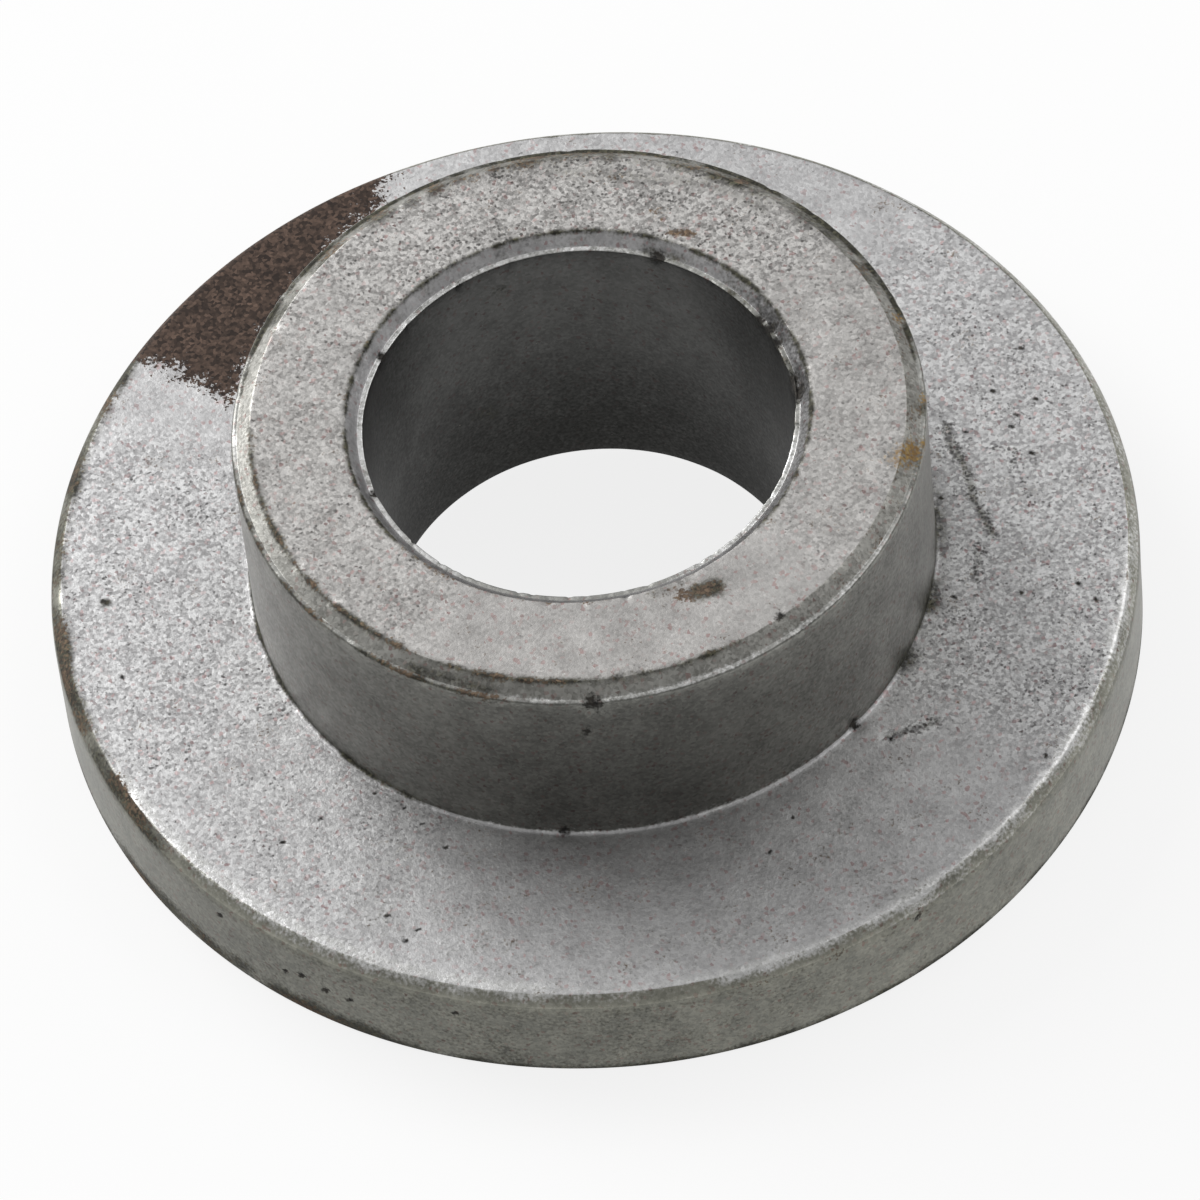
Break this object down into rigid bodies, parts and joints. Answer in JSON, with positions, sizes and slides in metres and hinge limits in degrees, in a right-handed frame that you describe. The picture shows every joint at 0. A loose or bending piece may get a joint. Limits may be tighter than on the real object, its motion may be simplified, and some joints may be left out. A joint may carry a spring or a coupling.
{
  "type": "shoulder spacer",
  "caption": "Round flanged spacer with a short hub and a plain through bore; carries a lever or wheel on its hub and sets it off from the bracket.",
  "frame": {"origin": "centre of the bore at the underside of the flange", "axes": "+Z along the bore, from the flange to the end of the hub"},
  "size_m": [0.0254, 0.0254, 0.008],
  "materials": {
    "sintered_steel": "pressed and sintered, matte and grainy on the flats, smoother on the die-formed walls, with oxide stains"
  },
  "bodies": {
    "root": {"shoulder_spacer": "sintered_steel"}
  },
  "joints": []
}
